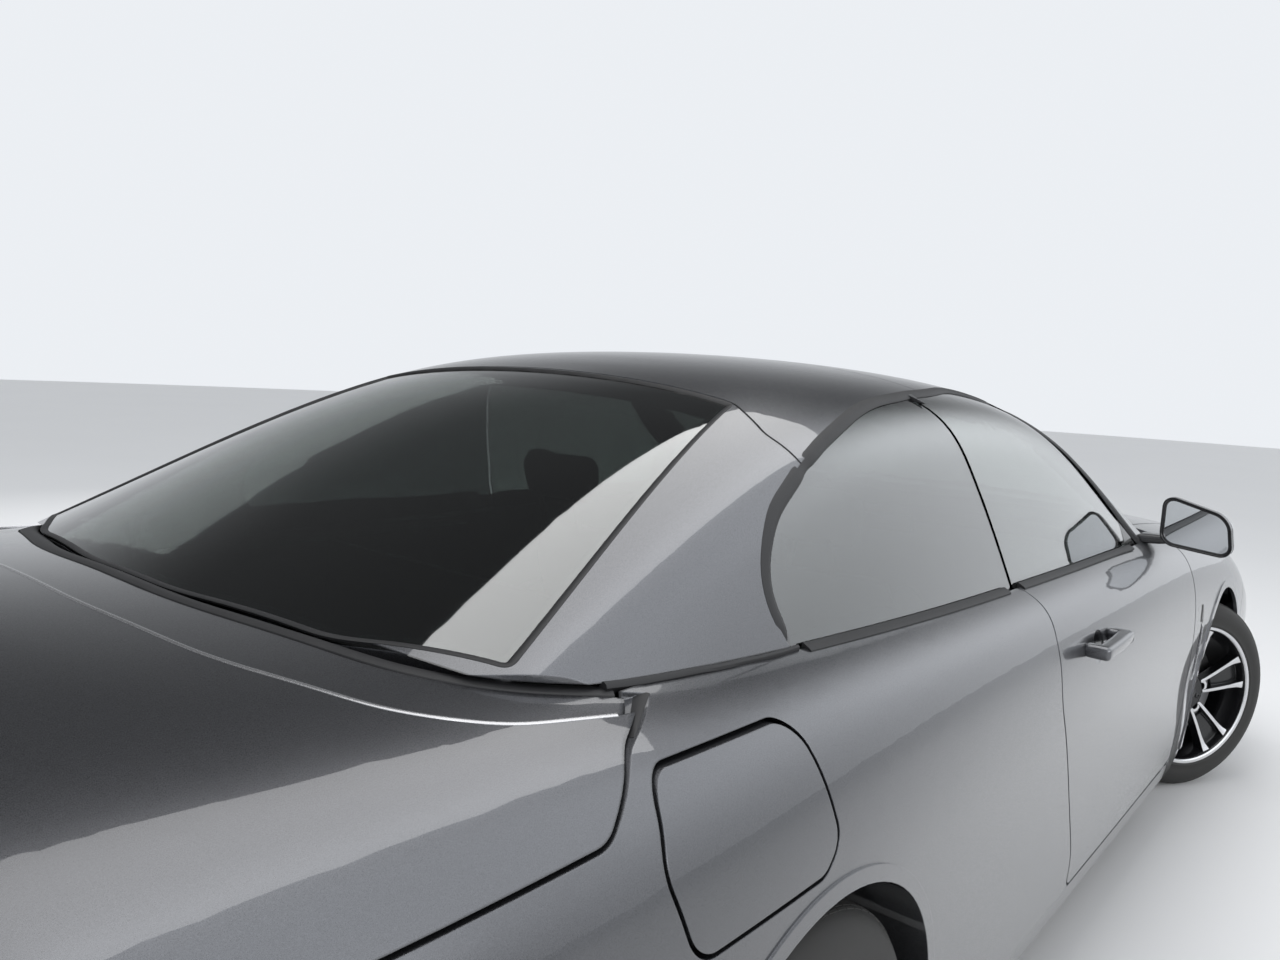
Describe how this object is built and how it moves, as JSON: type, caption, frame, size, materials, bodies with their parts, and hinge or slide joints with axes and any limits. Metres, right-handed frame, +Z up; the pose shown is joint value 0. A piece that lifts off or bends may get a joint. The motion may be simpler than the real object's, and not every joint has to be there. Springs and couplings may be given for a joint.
{
  "type": "convertible car",
  "caption": "Two-door convertible car with its folding hard top closed, opening doors, bonnet, boot lid and fuel flap, steered front wheels and rolling wheels.",
  "frame": {"origin": "on the ground under the middle of the car's bounding box", "axes": "+X forward along the car, +Y to the car's left, +Z up"},
  "size_m": [4.638, 2.04, 1.3916],
  "materials": {
    "body_paint": "gloss metallic",
    "tinted_glass": "gloss",
    "chassis_paint": "satin",
    "black_plastic": "satin",
    "lamp_clear": "gloss",
    "lamp_red": "gloss",
    "leather": "matte",
    "cast_metal": "rough",
    "steel": "satin",
    "tyre": "matte",
    "rim": "satin"
  },
  "bodies": {
    "body": {"floor_and_bulkhead": "chassis_paint", "sills": "body_paint", "front_frame": "chassis_paint", "rear_body": "chassis_paint", "front_wing_left": "body_paint", "front_wing_right": "body_paint", "quarter_panel_left": "body_paint", "quarter_panel_right": "body_paint", "front_bumper": "body_paint", "rear_bumper": "body_paint", "grille": "black_plastic", "scuttle": "black_plastic", "windscreen_frame": "body_paint", "windscreen": "tinted_glass", "roof_front": "body_paint", "roof_middle": "body_paint", "roof_rear": "body_paint", "rear_window": "tinted_glass", "quarter_windows": "tinted_glass", "headlamps": "lamp_clear", "tail_lamps": "lamp_red", "dashboard": "black_plastic", "steering_wheel": "black_plastic", "front_seats": "leather", "rear_bench": "leather", "engine_block": "cast_metal", "rear_axle": "chassis_paint", "exhaust": "steel"},
    "door_right": {"door_right": "body_paint", "door_window_right": "tinted_glass", "mirror_right": "black_plastic"},
    "knuckle_right": {"knuckle_right": "chassis_paint"},
    "wheel_front_right": {"tyre_front_right": "tyre", "rim_front_right": "rim"},
    "wheel_rear_right": {"tyre_rear_right": "tyre", "rim_rear_right": "rim"},
    "door_left": {"door_left": "body_paint", "door_window_left": "tinted_glass", "mirror_left": "black_plastic"},
    "knuckle_left": {"knuckle_left": "chassis_paint"},
    "wheel_front_left": {"tyre_front_left": "tyre", "rim_front_left": "rim"},
    "wheel_rear_left": {"tyre_rear_left": "tyre", "rim_rear_left": "rim"},
    "bonnet": {"bonnet": "body_paint"},
    "boot_lid": {"boot_lid": "body_paint"},
    "fuel_flap": {"fuel_flap": "body_paint"}
  },
  "joints": [
    {"name": "steering_right", "type": "hinge", "parent": "body", "child": "knuckle_right", "pos_m": [1.536, -0.742, 0.331], "axis": [0, 0, 1], "range_deg": [-2, 64]},
    {"name": "steering_left", "type": "hinge", "parent": "body", "child": "knuckle_left", "pos_m": [1.536, 0.742, 0.331], "axis": [0, 0, 1], "range_deg": [-2, 64]},
    {"name": "roll_front_right", "type": "hinge", "parent": "knuckle_right", "child": "wheel_front_right", "pos_m": [1.52029, -0.76814, 0.331], "axis": [0.515, 0.8572, 0], "continuous": true},
    {"name": "roll_rear_right", "type": "hinge", "parent": "body", "child": "wheel_rear_right", "pos_m": [-1.274, -0.778, 0.331], "axis": [0, 1, 0], "continuous": true},
    {"name": "door_hinge_right", "type": "hinge", "parent": "body", "child": "door_right", "pos_m": [1.085, -0.8795, 0.63], "axis": [0, 0, 1], "range_deg": [0, 65]},
    {"name": "roll_front_left", "type": "hinge", "parent": "knuckle_left", "child": "wheel_front_left", "pos_m": [1.55171, 0.76814, 0.331], "axis": [0.515, 0.8572, 0], "continuous": true},
    {"name": "roll_rear_left", "type": "hinge", "parent": "body", "child": "wheel_rear_left", "pos_m": [-1.274, 0.778, 0.331], "axis": [0, 1, 0], "continuous": true},
    {"name": "door_hinge_left", "type": "hinge", "parent": "body", "child": "door_left", "pos_m": [1.085, 0.8795, 0.63], "axis": [0, 0, -1], "range_deg": [0, 65]},
    {"name": "bonnet_hinge", "type": "hinge", "parent": "body", "child": "bonnet", "pos_m": [0.925, 0, 0.924], "axis": [0, -1, 0], "range_deg": [0, 50]},
    {"name": "boot_lid_hinge", "type": "hinge", "parent": "body", "child": "boot_lid", "pos_m": [-1.44, 0, 0.975], "axis": [0, 1, 0], "range_deg": [0, 75]},
    {"name": "fuel_flap_hinge", "type": "hinge", "parent": "body", "child": "fuel_flap", "pos_m": [-1.195, -0.868, 0.83], "axis": [0, 0, 1], "range_deg": [0, 90]}
  ],
  "couplings": [
    {"joint": "steering_left", "follows": "steering_right", "ratio": 1}
  ]
}
